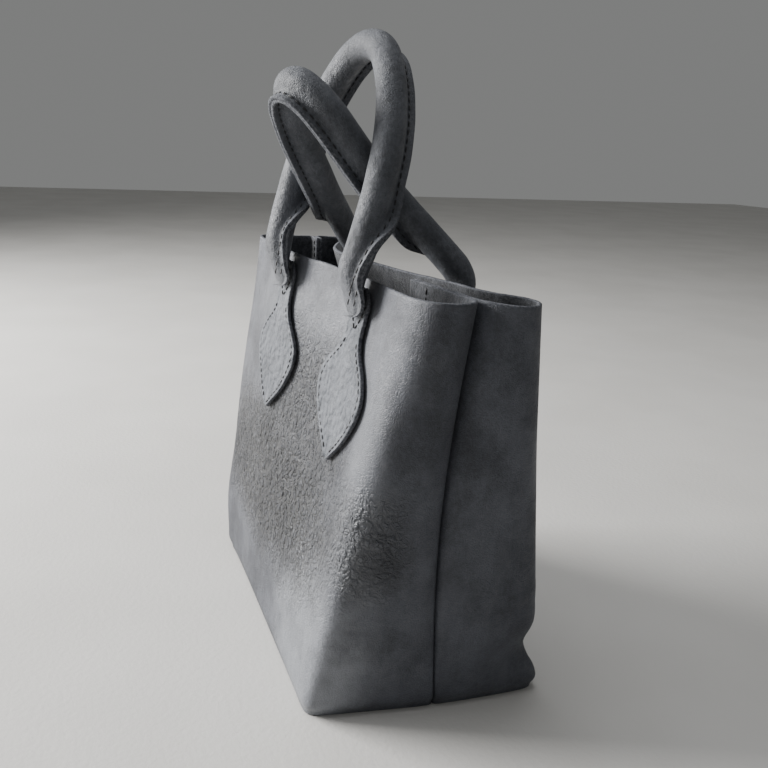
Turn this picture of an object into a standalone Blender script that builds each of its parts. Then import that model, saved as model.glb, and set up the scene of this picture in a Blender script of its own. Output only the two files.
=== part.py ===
"""Mini tote bag in thick leather: two wrapped panels, a base, two rolled handles and their four end tabs.

Units are metres and +Z is up. The bag stands on the plane z = 0. Its front panel faces -Y, and +X is
the near end, where the gusset folds deep into the bag between two rounded lobes.
"""

import math

import bmesh
import bpy
from mathutils import Vector

# Leather and fits
LEATHER = 0.0020
FIT_GAP = 0.0003
TAB_GAP = 0.0006

# Body
BODY_HEIGHT = 0.2160
BASE_LENGTH = 0.2060
BASE_DEPTH = 0.1250
RIM_LENGTH = 0.2400
RIM_DEPTH = 0.0800
BELLY = 0.0100
BELLY_SIDEWAYS = 0.25
BASE_THICKNESS = 0.0025

# The bottom edge tucks in over this height
TUCK = 0.0025
TUCK_HEIGHT = 0.0080
WALL_LIFT = 0.0003

# Side seams: the two panels lie face to face from the fold's mouth to the raw edges at its crease.
# A nose is how far the leather rounds out beyond the mouth, and the ease above 0 opens the fold early
FOOT_FOLD_DEPTH = 0.0018
FOOT_NOSE = 0.0016
NEAR_FOLD_DEPTH = 0.0500
NEAR_NOSE = 0.0110
FAR_FOLD_DEPTH = 0.0090
FAR_NOSE = 0.0040
FOLD_EASE = 0.8

# Handles: the tips' and the flange's shares are of the core's radius, the flange's width and LEATHER
HANDLE_DIAMETER = 0.0152
FLANGE_WIDTH = 0.0056
HANDLE_RISE = 0.1145
HANDLE_TAIL = 0.0190
TAB_DROP = 0.0045
TIP_LENGTH = 0.0110
TIP_RADIUS = 0.30
TIP_FLANGE = 0.35
FLANGE_EDGE = 0.9
FLANGE_TWIST_START = 0.0060
FLANGE_TWIST_LENGTH = 0.0450

# Tabs
TAB_LENGTH = 0.0860
TAB_WIDTH = 0.0560

# Fineness of the facets
SPAN_STEPS = 3
FOLD_SPANS = 3
CURVE_STEPS = 16
HANDLE_RINGS = 40
EASED_FROM = 5
EASING_ROUNDS = 6
TUBE_SIDES = 12
TAB_STRIPS = 6
SHARP_DEGREES = 40

# How far apart the points that give a panel's outward direction lie: in X, and in height share
PROBE_X = 0.0040
PROBE_SHARE = 0.02

LEVELS = (0.0, 0.006, 0.018, 0.037, 0.08, 0.14, 0.21, 0.29, 0.38, 0.48, 0.58, 0.68, 0.78, 0.89, 1.0)

# One row for each fold or bend of a panel, from its far seam to its near one.
# foot_x and rim_x are shares of half the length there, foot_y and rim_y of half the depth there,
# height is the rim's share of the body height, and belly is the share of BELLY pushed out between.
PANEL_COLUMNS = ("name", "foot_x", "foot_y", "rim_x", "rim_y", "height", "belly")
FRONT_ROWS = (
    ("far_end", -0.985, -0.45, -0.92, -0.45, 1.006, 0.1),
    ("far_bend", -0.985, -0.92, -0.965, -0.80, 1.006, 0.2),
    ("far_corner", -0.975, -1.02, -0.94, -0.98, 1.006, 0.3),
    ("far_front", -0.88, -1.00, -0.83, -1.00, 1.005, 0.3),
    ("front_far", -0.50, -1.00, -0.50, -1.00, 1.004, 0.4),
    ("front_middle", -0.05, -1.00, -0.12, -0.92, 1.002, 0.4),
    ("front_near", 0.45, -1.00, 0.28, -0.60, 1.000, 0.4),
    ("near_front", 0.84, -1.00, 0.70, -0.56, 1.000, 0.3),
    ("near_corner", 0.95, -1.01, 0.90, -0.58, 1.000, 0.2),
    ("near_bend", 0.97, -0.88, 1.03, -0.46, 1.000, 0.1),
    ("near_face", 1.01, -0.45, 1.07, -0.08, 1.000, 0.0),
)
BACK_ROWS = (
    ("far_end", -0.985, 0.45, -0.90, 0.22, 1.006, 0.1),
    ("far_bend", -0.975, 0.90, -0.88, 0.40, 1.006, 0.1),
    ("far_corner", -0.955, 1.00, -0.82, 0.40, 1.006, 0.1),
    ("far_back", -0.88, 1.00, -0.72, 0.24, 1.005, 0.2),
    ("back_far", -0.50, 1.00, -0.45, -0.22, 1.003, 0.4),
    ("back_middle", -0.05, 1.00, -0.10, -0.22, 1.001, 0.4),
    ("back_near", 0.40, 1.00, 0.28, 0.10, 1.000, 0.4),
    ("near_back", 0.78, 1.00, 0.63, 0.44, 0.998, 0.3),
    ("near_hollow", 0.97, 1.03, 0.83, 0.66, 0.995, 0.2),
    ("near_corner", 1.07, 1.06, 0.90, 0.95, 0.992, 0.1),
    ("near_bend", 1.085, 0.92, 1.01, 0.98, 0.990, 0.0),
    ("near_face", 1.075, 0.52, 1.08, 0.68, 0.990, 0.0),
)

# Where each seam's fold opens on the outside: shares as above, the way it runs into the bag in
# degrees from +X, and how far it bows in Y between foot and rim, as a share of half the base's depth
SEAM_COLUMNS = ("foot_x", "foot_y", "rim_x", "rim_y", "foot_heading", "rim_heading", "height", "bow")
SEAMS = {
    "far": (-0.985, 0.0, -0.885, -0.07, 0.0, 0.0, 1.006, 0.0),
    "near": (1.045, 0.075, 0.895, 0.19, 180.0, 187.0, 0.996, -0.10),
}
SEAM_POINTS = FOLD_SPANS + 2
FOLDS = {
    "far": (FAR_FOLD_DEPTH, FAR_NOSE),
    "near": (NEAR_FOLD_DEPTH, NEAR_NOSE),
}

# Soft dents: the panel and the row they lie beside, shares of the body height, and the depth pushed
# in, which is negative where the leather swells out
DENT_COLUMNS = ("panel", "row", "reach", "height", "spread", "depth")
DENTS = (
    ("back", "near_corner", 1.4, 0.125, 0.050, 0.0080),
    ("front", "front_near", 1.3, 0.55, 0.16, 0.0025),
    ("front", "far_corner", 1.6, 0.18, 0.14, -0.0040),
)

# A handle's arch, from the legs to the top: how far its near and far side lie from the middle, as
# shares of half the span, and their height as a share of the rise
ARCH_COLUMNS = ("near", "far", "rise")
ARCHES = {
    "front": (
        (1.08, 1.08, 0.19),
        (1.077, 1.077, 0.44),
        (0.95, 0.95, 0.692),
        (0.683, 0.683, 0.844),
        (0.34, 0.34, 1.01),
    ),
    "back": (
        (0.844, 0.938, 0.208),
        (0.495, 0.714, 0.503),
        (0.431, 0.488, 0.775),
        (0.425, 0.395, 0.844),
        (0.25, 0.093, 1.007),
    ),
}

# Handles: legs as shares of half the rim length, lean in degrees from upright towards +Y, the rise as
# a share of HANDLE_RISE, and the side of X that the stitched flange lies on at the legs
HANDLE_COLUMNS = ("near_leg", "far_leg", "lean", "rise", "flange_side")
HANDLES = {
    "front": (0.537, -0.226, 15.8, 0.989, 1.0),
    "back": (0.554, -0.295, -40.2, 1.012, -1.0),
}

# The tab's outline, from the rim down: shares of its length and of half its width
TAB_COLUMNS = ("down", "half_width")
TAB_OUTLINE = (
    (0.00, 0.34),
    (0.16, 0.34),
    (0.27, 0.34),
    (0.36, 0.48),
    (0.45, 0.78),
    (0.54, 0.98),
    (0.63, 1.00),
    (0.73, 0.86),
    (0.83, 0.62),
    (0.92, 0.34),
    (1.00, 0.06),
)

# The leathers: linear colour and roughness
LOOK_COLUMNS = ("red", "green", "blue", "roughness")
LOOKS = {
    "front_leather": (0.085, 0.095, 0.115, 0.62),
    "back_leather": (0.080, 0.090, 0.110, 0.62),
    "base_leather": (0.060, 0.066, 0.080, 0.70),
    "front_handle_leather": (0.075, 0.083, 0.100, 0.58),
    "back_handle_leather": (0.072, 0.080, 0.097, 0.58),
    "front_near_tab_leather": (0.095, 0.105, 0.125, 0.60),
    "front_far_tab_leather": (0.090, 0.100, 0.120, 0.60),
    "back_near_tab_leather": (0.088, 0.098, 0.118, 0.60),
    "back_far_tab_leather": (0.086, 0.096, 0.116, 0.60),
}


def named(columns, row):
    """A row of a table as a dictionary by column name."""
    return dict(zip(columns, row))


def mix(a, b, share):
    return a + (b - a) * share


def clear_scene():
    for obj in list(bpy.data.objects):
        bpy.data.objects.remove(obj, do_unlink=True)


def spline_through_pull(points, steps):
    """A cubic B-spline pulled towards the points, which starts and ends on the first and last."""
    ends = [2 * points[0] - points[1]] + list(points) + [2 * points[-1] - points[-2]]
    curve = []
    for i in range(1, len(ends) - 2):
        a, b, c, d = ends[i - 1 : i + 3]
        for step in range(steps):
            t = step / steps
            curve.append(
                (
                    a * (1 - t) ** 3
                    + b * (3 * t**3 - 6 * t**2 + 4)
                    + c * (-3 * t**3 + 3 * t**2 + 3 * t + 1)
                    + d * t**3
                )
                / 6
            )
    curve.append(points[-1].copy())
    return curve


def spline_on_points(points, count):
    """Evenly spaced points on a Catmull-Rom curve that passes through every point."""
    ends = [2 * points[0] - points[1]] + list(points) + [2 * points[-1] - points[-2]]
    fine = []
    for i in range(1, len(ends) - 2):
        a, b, c, d = ends[i - 1 : i + 3]
        for step in range(CURVE_STEPS):
            t = step / CURVE_STEPS
            fine.append(
                (
                    2 * b
                    + (c - a) * t
                    + (2 * a - 5 * b + 4 * c - d) * t**2
                    + (3 * b - a - 3 * c + d) * t**3
                )
                / 2
            )
    fine.append(points[-1].copy())
    lengths = [0.0]
    for before, after in zip(fine, fine[1:]):
        lengths.append(lengths[-1] + (after - before).length)
    curve = []
    at = 0
    for k in range(count):
        wanted = lengths[-1] * k / (count - 1)
        while at < len(fine) - 2 and lengths[at + 1] < wanted:
            at += 1
        span = lengths[at + 1] - lengths[at]
        curve.append(fine[at].lerp(fine[at + 1], (wanted - lengths[at]) / span))
    return curve


def seam_rows(end, side, share):
    """The panel's control points at one side seam, from the nose to the crease, at a height share.

    side is -1 for the front panel and +1 for the back one.
    """
    seam = named(SEAM_COLUMNS, SEAMS[end])
    fold_depth, nose = FOLDS[end]
    bow = seam["bow"] * BASE_DEPTH / 2 * math.sin(math.pi * share)
    mouth = Vector(
        (
            mix(seam["foot_x"] * BASE_LENGTH, seam["rim_x"] * RIM_LENGTH, share) / 2,
            mix(seam["foot_y"] * BASE_DEPTH, seam["rim_y"] * RIM_DEPTH, share) / 2 + bow,
            share * seam["height"] * BODY_HEIGHT,
        )
    )
    heading = math.radians(mix(seam["foot_heading"], seam["rim_heading"], share))
    inward = Vector((math.cos(heading), math.sin(heading), 0))
    sideways = Vector((-inward.y, inward.x, 0))
    if sideways.y * side < 0:
        sideways = -sideways
    open_share = share**FOLD_EASE
    depth = mix(FOOT_FOLD_DEPTH, fold_depth, open_share)
    out = mix(FOOT_NOSE, nose, open_share)
    middle = mouth + sideways * (LEATHER + FIT_GAP) / 2
    fold = [middle + inward * depth * k / FOLD_SPANS for k in range(FOLD_SPANS + 1)]
    return [middle - inward * out] + fold


def face_rows(rows, share):
    """The control points of a panel's visible rows at a height share, with its belly."""
    points = []
    swell = BELLY * math.sin(math.pi * share) ** 2
    for row in rows:
        at = named(PANEL_COLUMNS, row)
        point = Vector(
            (
                mix(at["foot_x"] * BASE_LENGTH, at["rim_x"] * RIM_LENGTH, share) / 2,
                mix(at["foot_y"] * BASE_DEPTH, at["rim_y"] * RIM_DEPTH, share) / 2,
                share * at["height"] * BODY_HEIGHT,
            )
        )
        sideways = BELLY_SIDEWAYS * math.copysign(1, point.x)
        outward = Vector((sideways, math.copysign(1, at["foot_y"]), 0))
        points.append(point + outward.normalized() * swell * at["belly"])
    return points


def panel_curve(side, share):
    """A panel's middle line in plan at a height share, from its far raw edge to its near one."""
    rows = FRONT_ROWS if side < 0 else BACK_ROWS
    far = seam_rows("far", side, share)[::-1]
    near = seam_rows("near", side, share)
    points = far + face_rows(rows, share) + near
    height = share * BODY_HEIGHT
    tuck = TUCK * (1 + math.cos(math.pi * min(1.0, height / TUCK_HEIGHT))) / 2
    shrink_x, shrink_y = 1 - 2 * tuck / BASE_LENGTH, 1 - 2 * tuck / BASE_DEPTH
    lift = WALL_LIFT * (1 - share)
    drawn_in = [Vector((p.x * shrink_x, p.y * shrink_y, p.z + lift)) for p in points]
    curve = spline_through_pull(drawn_in, SPAN_STEPS)
    return dented(curve, side, share, rows, len(far))


def outward_of(curve, i, side):
    """The unit normal of a plan curve that points out of the bag."""
    run = curve[min(i + 1, len(curve) - 1)] - curve[max(i - 1, 0)]
    normal = Vector((run.y, -run.x, 0)).normalized()
    return normal if side < 0 else -normal


def dented(curve, side, share, rows, first):
    """The curve with this panel's soft dents pushed in."""
    names = [row[0] for row in rows]
    moved = [point.copy() for point in curve]
    for entry in DENTS:
        dent = named(DENT_COLUMNS, entry)
        if (dent["panel"] == "front") != (side < 0):
            continue
        centre = (first + names.index(dent["row"])) * SPAN_STEPS
        rise = math.exp(-(((share - dent["height"]) / dent["spread"]) ** 2))
        for i in range(len(curve)):
            along = (i - centre) / (dent["reach"] * SPAN_STEPS)
            push = dent["depth"] * rise * math.exp(-(along**2))
            moved[i] -= outward_of(curve, i, side) * push
    return moved


def new_object(name, mesh, collection, material):
    obj = bpy.data.objects.new(name, mesh)
    collection.objects.link(obj)
    mesh.materials.append(material)
    mesh.shade_smooth()
    mesh.set_sharp_from_angle(angle=math.radians(SHARP_DEGREES))
    return obj


def grid_mesh(name, rows):
    """An open surface through rows of points, all of one length."""
    shape = bmesh.new()
    verts = [[shape.verts.new(point) for point in row] for row in rows]
    for lower, upper in zip(verts, verts[1:]):
        for i in range(len(lower) - 1):
            shape.faces.new((lower[i], lower[i + 1], upper[i + 1], upper[i]))
    bmesh.ops.recalc_face_normals(shape, faces=shape.faces)
    mesh = bpy.data.meshes.new(name)
    shape.to_mesh(mesh)
    shape.free()
    return mesh


def rings_mesh(name, rings):
    """A closed body through closed rings of points, with its two ends filled."""
    shape = bmesh.new()
    verts = [[shape.verts.new(point) for point in ring] for ring in rings]
    for lower, upper in zip(verts, verts[1:]):
        for i in range(len(lower)):
            j = (i + 1) % len(lower)
            shape.faces.new((lower[i], lower[j], upper[j], upper[i]))
    shape.faces.new(verts[0][::-1])
    shape.faces.new(verts[-1])
    bmesh.ops.recalc_face_normals(shape, faces=shape.faces)
    mesh = bpy.data.meshes.new(name)
    shape.to_mesh(mesh)
    shape.free()
    return mesh


def thicken(obj, thickness):
    wall = obj.modifiers.new("leather", "SOLIDIFY")
    wall.thickness = thickness
    wall.offset = 0.0
    wall.use_even_offset = True
    wall.use_rim = True


def make_panel(name, side, collection, material):
    rows = [panel_curve(side, share) for share in LEVELS]
    obj = new_object(name, grid_mesh(name, rows), collection, material)
    thicken(obj, LEATHER)
    return obj


def face_point(side, x, share):
    """The panel's middle surface at a length x and height share, and its outward normal there."""
    lower = surface_at_x(side, x, share - PROBE_SHARE)
    upper = surface_at_x(side, x, share + PROBE_SHARE)
    here = surface_at_x(side, x, share)
    beside = surface_at_x(side, x + PROBE_X, share)
    before = surface_at_x(side, x - PROBE_X, share)
    normal = (beside - before).cross(upper - lower).normalized()
    if normal.y * side < 0:
        normal = -normal
    return here, normal


def surface_at_x(side, x, share):
    """The point of the panel's broad face at a length x, read off its plan curve."""
    names = [row[0] for row in (FRONT_ROWS if side < 0 else BACK_ROWS)]
    curve = panel_curve(side, min(max(share, 0.0), 1.0))
    first = (SEAM_POINTS + names.index("far_corner")) * SPAN_STEPS
    last = (SEAM_POINTS + names.index("near_corner")) * SPAN_STEPS
    for i in range(first, last):
        a, b = curve[i], curve[i + 1]
        if a.x <= x <= b.x:
            point = a.lerp(b, (x - a.x) / (b.x - a.x))
            break
    else:
        point = curve[last] if x > curve[last].x else curve[first]
        point = Vector((x, point.y, point.z))
    if share > 1.0:
        point.z += (share - 1.0) * BODY_HEIGHT
    return point


def make_base(collection, material):
    """The flat base, inside the walls' tucked-in bottom edge and clear of the seams' folds."""
    inset = LEATHER / 2 + FIT_GAP
    loop = []
    for side in (-1, 1):
        curve = panel_curve(side, 0.0)
        kept = range(SEAM_POINTS * SPAN_STEPS, len(curve) - SEAM_POINTS * SPAN_STEPS)
        points = [curve[i] - outward_of(curve, i, side) * inset for i in kept]
        loop += points if side < 0 else points[::-1]
    crease = panel_curve(-1, 0.0)
    low, high = crease[0].x + FIT_GAP, crease[-1].x - FIT_GAP
    outline = [(min(max(p.x, low), high), p.y) for p in loop]
    rings = [[Vector((x, y, z)) for x, y in outline] for z in (0.0, BASE_THICKNESS)]
    return new_object("base_panel", rings_mesh("base_panel", rings), collection, material)


def eased(path):
    """The path with its bends evened out between the legs, which stay as they are."""
    for _ in range(EASING_ROUNDS):
        inner = [(a + b * 2 + c) / 4 for a, b, c in zip(path, path[1:], path[2:])]
        smoothed = path[:1] + inner + path[-1:]
        path = path[:EASED_FROM] + smoothed[EASED_FROM:-EASED_FROM] + path[-EASED_FROM:]
    return path


def handle_path(key):
    """The middle line of a handle: down each panel over the tail, and over the arch between."""
    side = -1 if key == "front" else 1
    arch = [named(ARCH_COLUMNS, row) for row in ARCHES[key]]
    row = named(HANDLE_COLUMNS, HANDLES[key])
    stand_off = LEATHER / 2 + TAB_GAP + LEATHER + TAB_GAP + HANDLE_DIAMETER / 2
    legs = []
    for leg in ("near_leg", "far_leg"):
        x = row[leg] * RIM_LENGTH / 2
        leg_points = []
        for below in (HANDLE_TAIL, HANDLE_TAIL / 2, 0.0):
            seat, normal = face_point(side, x, 1 - below / BODY_HEIGHT)
            leg_points.append(seat + normal * stand_off)
        legs.append(leg_points)
    near, far = legs[0][-1], legs[1][-1]
    middle, half = (near + far) / 2, (near - far) / 2
    across = half.normalized()
    lean = math.radians(row["lean"])
    up = Vector((0, math.sin(lean), math.cos(lean)))
    up = (up - across * up.dot(across)).normalized()
    rise = HANDLE_RISE * row["rise"]
    over = [(at["near"], at["rise"]) for at in arch]
    over += [(-at["far"], at["rise"]) for at in reversed(arch)]
    crown = [middle + half * share + up * rise * height for share, height in over]
    path = eased(spline_on_points(legs[0] + crown + legs[1][::-1], HANDLE_RINGS))
    return path, up.cross(across).normalized(), row["flange_side"]


def handle_ring(centre, forward, flange, radius, width):
    """One section of the rolled handle: a round core with the two leather edges sewn flat beside it."""
    flange = (flange - forward * flange.dot(forward)).normalized()
    other = forward.cross(flange)
    half_edge = min(LEATHER, radius) * FLANGE_EDGE
    first = math.asin(half_edge / radius)
    turn = (2 * math.pi - 2 * first) / TUBE_SIDES
    ring = []
    for k in range(TUBE_SIDES + 1):
        angle = first + turn * k
        ring.append(centre + flange * radius * math.cos(angle) + other * radius * math.sin(angle))
    reach = radius * math.cos(first) + width
    ring.append(centre + flange * reach - other * half_edge)
    ring.append(centre + flange * reach + other * half_edge)
    return ring


def make_handle(key, collection, material):
    path, plane_normal, side_x = handle_path(key)
    side = -1 if key == "front" else 1
    inner = plane_normal if plane_normal.y * -side > 0 else -plane_normal
    lengths = [0.0]
    for before, after in zip(path, path[1:]):
        lengths.append(lengths[-1] + (after - before).length)
    rings = []
    for i, centre in enumerate(path):
        forward = (path[min(i + 1, len(path) - 1)] - path[max(i - 1, 0)]).normalized()
        from_end = min(lengths[i], lengths[-1] - lengths[i])
        tip = min(1.0, from_end / TIP_LENGTH)
        radius = HANDLE_DIAMETER / 2 * mix(TIP_RADIUS, 1.0, math.sin(tip * math.pi / 2))
        turned = (from_end - HANDLE_TAIL - FLANGE_TWIST_START) / FLANGE_TWIST_LENGTH
        turned = min(1.0, max(0.0, turned))
        turned = turned * turned * (3 - 2 * turned)
        flange = inner * turned + Vector((side_x, 0, 0)) * (1 - turned)
        width = FLANGE_WIDTH * mix(TIP_FLANGE, 1.0, tip)
        rings.append(handle_ring(centre, forward, flange, radius, width))
    name = key + "_handle"
    return new_object(name, rings_mesh(name, rings), collection, material)


def make_tab(key, leg, collection, material):
    """A leather tab on the panel under a handle's leg: a neck that widens into a pointed leaf."""
    side = -1 if key == "front" else 1
    centre_x = named(HANDLE_COLUMNS, HANDLES[key])[leg + "_leg"] * RIM_LENGTH / 2
    stand_off = LEATHER / 2 + TAB_GAP + LEATHER / 2
    rows = []
    for entry in TAB_OUTLINE:
        at = named(TAB_COLUMNS, entry)
        share = 1 - (TAB_DROP + at["down"] * TAB_LENGTH) / BODY_HEIGHT
        row = []
        for k in range(TAB_STRIPS + 1):
            x = centre_x + (2 * k / TAB_STRIPS - 1) * at["half_width"] * TAB_WIDTH / 2
            point, normal = face_point(side, x, share)
            row.append(point + normal * stand_off)
        rows.append(row)
    name = f"{key}_tab_{leg}"
    obj = new_object(name, grid_mesh(name, rows), collection, material)
    thicken(obj, LEATHER)
    return obj


def leather_material(name):
    """A plain matte leather in the colour of the table's row for this slot."""
    look = named(LOOK_COLUMNS, LOOKS[name])
    material = bpy.data.materials.new(name)
    material.use_nodes = True
    shader = material.node_tree.nodes["Principled BSDF"]
    shader.inputs["Base Color"].default_value = (look["red"], look["green"], look["blue"], 1.0)
    shader.inputs["Roughness"].default_value = look["roughness"]
    shader.inputs["Metallic"].default_value = 0.0
    return material


def main():
    clear_scene()
    collection = bpy.data.collections.new("mini_tote_bag")
    bpy.context.scene.collection.children.link(collection)
    make_panel("front_panel", -1, collection, leather_material("front_leather"))
    make_panel("back_panel", 1, collection, leather_material("back_leather"))
    make_base(collection, leather_material("base_leather"))
    for key in HANDLES:
        make_handle(key, collection, leather_material(key + "_handle_leather"))
        for leg in ("near", "far"):
            make_tab(key, leg, collection, leather_material(f"{key}_{leg}_tab_leather"))


main()
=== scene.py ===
"""Looks of the mini tote bag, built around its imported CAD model.

Units are metres, in the frame of the CAD model: +Z up, the front panel faces -Y, +X is the near end.
The tables and curves of the body repeat those of the CAD source, read at finer steps, and each piece
gets the relief, raw edges, stitches and leather that the CAD solids leave out.
"""

import math

import bmesh
import bpy
import numpy as np
from mathutils import Matrix, Vector, noise


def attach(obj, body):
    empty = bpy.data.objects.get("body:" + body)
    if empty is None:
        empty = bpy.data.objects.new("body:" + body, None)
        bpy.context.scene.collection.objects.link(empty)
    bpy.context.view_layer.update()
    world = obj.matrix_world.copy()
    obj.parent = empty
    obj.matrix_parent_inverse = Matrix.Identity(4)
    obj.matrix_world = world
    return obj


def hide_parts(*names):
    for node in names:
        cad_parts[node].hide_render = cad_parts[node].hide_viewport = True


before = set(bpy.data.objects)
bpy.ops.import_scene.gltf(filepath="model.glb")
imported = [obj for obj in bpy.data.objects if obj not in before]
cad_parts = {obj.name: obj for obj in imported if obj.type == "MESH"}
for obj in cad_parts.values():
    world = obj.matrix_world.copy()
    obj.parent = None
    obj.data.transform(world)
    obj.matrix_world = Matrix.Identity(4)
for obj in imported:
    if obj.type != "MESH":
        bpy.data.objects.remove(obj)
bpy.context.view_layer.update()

# Leather and fits
LEATHER = 0.0020
FIT_GAP = 0.0003
TAB_GAP = 0.0006

# Body
BODY_HEIGHT = 0.2160
BASE_LENGTH = 0.2060
BASE_DEPTH = 0.1250
RIM_LENGTH = 0.2400
RIM_DEPTH = 0.0800
BELLY = 0.0100
BELLY_SIDEWAYS = 0.25
BASE_THICKNESS = 0.0025
TUCK = 0.0025
TUCK_HEIGHT = 0.0080
WALL_LIFT = 0.0003

# Side seams
FOOT_FOLD_DEPTH = 0.0018
FOOT_NOSE = 0.0016
NEAR_FOLD_DEPTH = 0.0500
NEAR_NOSE = 0.0110
FAR_FOLD_DEPTH = 0.0090
FAR_NOSE = 0.0040
FOLD_EASE = 0.8
FOLD_SPANS = 3
SEAM_POINTS = FOLD_SPANS + 2

# Handles
HANDLE_DIAMETER = 0.0152
FLANGE_WIDTH = 0.0056
HANDLE_RISE = 0.1145
HANDLE_TAIL = 0.0190
TAB_DROP = 0.0045
TIP_LENGTH = 0.0080
TIP_RADIUS = 0.30
TIP_FLANGE = 0.35
FLAT_LENGTH = 0.0260
FLAT_SHARE = 0.34
FLAT_SPREAD = 1.16
FLANGE_TWIST_START = 0.0060
FLANGE_TWIST_LENGTH = 0.0450
FLANGE_FILLET = 0.0025
FLANGE_PINCH = 0.0014

# One half of the flange's section: the share of its width, the half thickness there, and the material's
# slot of the face that starts there
FLANGE_SECTION = (
    (0.13, 0.0019, 0),
    (0.27, FLANGE_PINCH, 0),
    (0.45, FLANGE_PINCH, 0),
    (0.70, 0.0018, 0),
    (0.92, 0.0020, 2),
    (0.99, 0.0017, 2),
    (1.00, 0.0011, 2),
    (0.99, 0.0003, 2),
    (0.93, 0.0, 2),
)

# Stitches
THREAD_THICKNESS = 0.0008
THREAD_SIDES = 7
THREAD_RINGS = ((-0.5, 0.35), (-0.36, 0.86), (0.0, 1.0), (0.36, 0.86), (0.5, 0.35))
THREAD_ARCH = 0.35
SEAM_PITCH = 0.0042
SEAM_STITCH = 0.0031
TAB_PITCH = 0.0040
TAB_STITCH = 0.0029
TAB_STITCH_INSET = 0.0028
FLANGE_STITCH_SHARE = 0.34

# Tabs
TAB_LENGTH = 0.0860
TAB_WIDTH = 0.0560
NECK_ROUNDING = 0.10

# Fineness
SPAN_STEPS = 11
PANEL_LEVELS = 140
CURVE_STEPS = 16
PATH_RINGS = 40
EASED_FROM = 5
EASING_ROUNDS = 6
HANDLE_RINGS = 190
TUBE_SIDES = 30
TAB_STRIPS = 28
TAB_RINGS = 72
PROBE_X = 0.0040
PROBE_SHARE = 0.02

# The body's rows: shares of half the length and half the depth at foot and rim, the rim's height as a
# share of the body height, and the share of BELLY pushed out between
PANEL_COLUMNS = ("name", "foot_x", "foot_y", "rim_x", "rim_y", "height", "belly")
FRONT_ROWS = (
    ("far_end", -0.985, -0.45, -0.92, -0.45, 1.006, 0.1),
    ("far_bend", -0.985, -0.92, -0.965, -0.80, 1.006, 0.2),
    ("far_corner", -0.975, -1.02, -0.94, -0.98, 1.006, 0.3),
    ("far_front", -0.88, -1.00, -0.83, -1.00, 1.005, 0.3),
    ("front_far", -0.50, -1.00, -0.50, -1.00, 1.004, 0.4),
    ("front_middle", -0.05, -1.00, -0.12, -0.92, 1.002, 0.4),
    ("front_near", 0.45, -1.00, 0.28, -0.60, 1.000, 0.4),
    ("near_front", 0.84, -1.00, 0.70, -0.56, 1.000, 0.3),
    ("near_corner", 0.95, -1.01, 0.90, -0.58, 1.000, 0.2),
    ("near_bend", 0.97, -0.88, 1.03, -0.46, 1.000, 0.1),
    ("near_face", 1.01, -0.45, 1.07, -0.08, 1.000, 0.0),
)
BACK_ROWS = (
    ("far_end", -0.985, 0.45, -0.90, 0.22, 1.006, 0.1),
    ("far_bend", -0.975, 0.90, -0.88, 0.40, 1.006, 0.1),
    ("far_corner", -0.955, 1.00, -0.82, 0.40, 1.006, 0.1),
    ("far_back", -0.88, 1.00, -0.72, 0.24, 1.005, 0.2),
    ("back_far", -0.50, 1.00, -0.45, -0.22, 1.003, 0.4),
    ("back_middle", -0.05, 1.00, -0.10, -0.22, 1.001, 0.4),
    ("back_near", 0.40, 1.00, 0.28, 0.10, 1.000, 0.4),
    ("near_back", 0.78, 1.00, 0.63, 0.44, 0.998, 0.3),
    ("near_hollow", 0.97, 1.03, 0.83, 0.66, 0.995, 0.2),
    ("near_corner", 1.07, 1.06, 0.90, 0.95, 0.992, 0.1),
    ("near_bend", 1.085, 0.92, 1.01, 0.98, 0.990, 0.0),
    ("near_face", 1.075, 0.52, 1.08, 0.68, 0.990, 0.0),
)
PANEL_ROWS = {-1: FRONT_ROWS, 1: BACK_ROWS}

SEAM_COLUMNS = ("foot_x", "foot_y", "rim_x", "rim_y", "foot_heading", "rim_heading", "height", "bow")
SEAMS = {
    "far": (-0.985, 0.0, -0.885, -0.07, 0.0, 0.0, 1.006, 0.0),
    "near": (1.045, 0.075, 0.895, 0.19, 180.0, 187.0, 0.996, -0.10),
}
FOLDS = {
    "far": (FAR_FOLD_DEPTH, FAR_NOSE),
    "near": (NEAR_FOLD_DEPTH, NEAR_NOSE),
}

DENT_COLUMNS = ("side", "row", "reach", "height", "spread", "depth")
DENTS = (
    (1, "near_corner", 1.4, 0.125, 0.050, 0.0080),
    (-1, "front_near", 1.3, 0.55, 0.16, 0.0025),
    (-1, "far_corner", 1.6, 0.18, 0.14, -0.0040),
)

ARCH_COLUMNS = ("near", "far", "rise")
ARCHES = {
    "front": (
        (1.08, 1.08, 0.19),
        (1.077, 1.077, 0.44),
        (0.95, 0.95, 0.692),
        (0.683, 0.683, 0.844),
        (0.34, 0.34, 1.01),
    ),
    "back": (
        (0.844, 0.938, 0.208),
        (0.495, 0.714, 0.503),
        (0.431, 0.488, 0.775),
        (0.425, 0.395, 0.844),
        (0.25, 0.093, 1.007),
    ),
}
HANDLE_COLUMNS = ("side", "near_leg", "far_leg", "lean", "rise", "flange_side")
HANDLES = {
    "front": (-1, 0.537, -0.226, 15.8, 0.989, 1.0),
    "back": (1, 0.554, -0.295, -40.2, 1.012, -1.0),
}

# The tab's outline: shares of its length, and of half its width there
TAB_OUTLINE = (
    (0.00, 0.34),
    (0.16, 0.34),
    (0.27, 0.34),
    (0.36, 0.48),
    (0.45, 0.78),
    (0.54, 0.98),
    (0.63, 1.00),
    (0.73, 0.86),
    (0.83, 0.62),
    (0.92, 0.34),
    (1.00, 0.06),
)

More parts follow.
